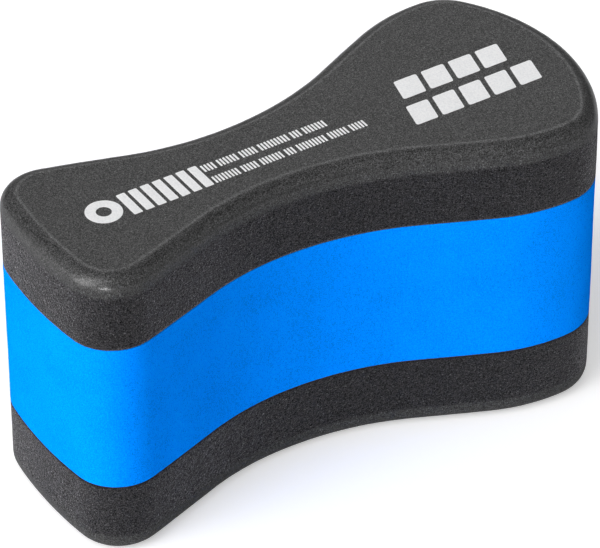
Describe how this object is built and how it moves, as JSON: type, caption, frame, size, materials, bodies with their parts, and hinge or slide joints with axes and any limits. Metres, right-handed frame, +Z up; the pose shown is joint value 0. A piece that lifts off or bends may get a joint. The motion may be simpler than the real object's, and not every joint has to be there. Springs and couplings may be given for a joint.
{
  "type": "pull buoy",
  "caption": "Hourglass foam leg float for swimming training: black, blue and black foam layers bonded flat together, with rounded outer rims.",
  "frame": {"origin": "middle of the underside, on the centre line", "axes": "+X along the length towards the wide lobe, +Y across the width, +Z up through the layers towards the printed face"},
  "size_m": [0.24, 0.1096, 0.1312],
  "materials": {
    "black_foam": "matt fine-celled closed-cell foam",
    "blue_foam": "matt fine-celled closed-cell foam",
    "glue": "thin satin contact adhesive",
    "white_ink": "matt screen-printed ink"
  },
  "bodies": {
    "root": {"bottom_foam_slab": "black_foam", "centre_foam_slab": "blue_foam", "top_foam_slab": "black_foam", "lower_bond_film": "glue", "upper_bond_film": "glue", "print_disc": "white_ink", "print_heading_bar": "white_ink", "print_note_line_upper": "white_ink", "print_note_line_lower": "white_ink", "print_badge_upper": "white_ink", "print_badge_lower": "white_ink"}
  },
  "joints": []
}
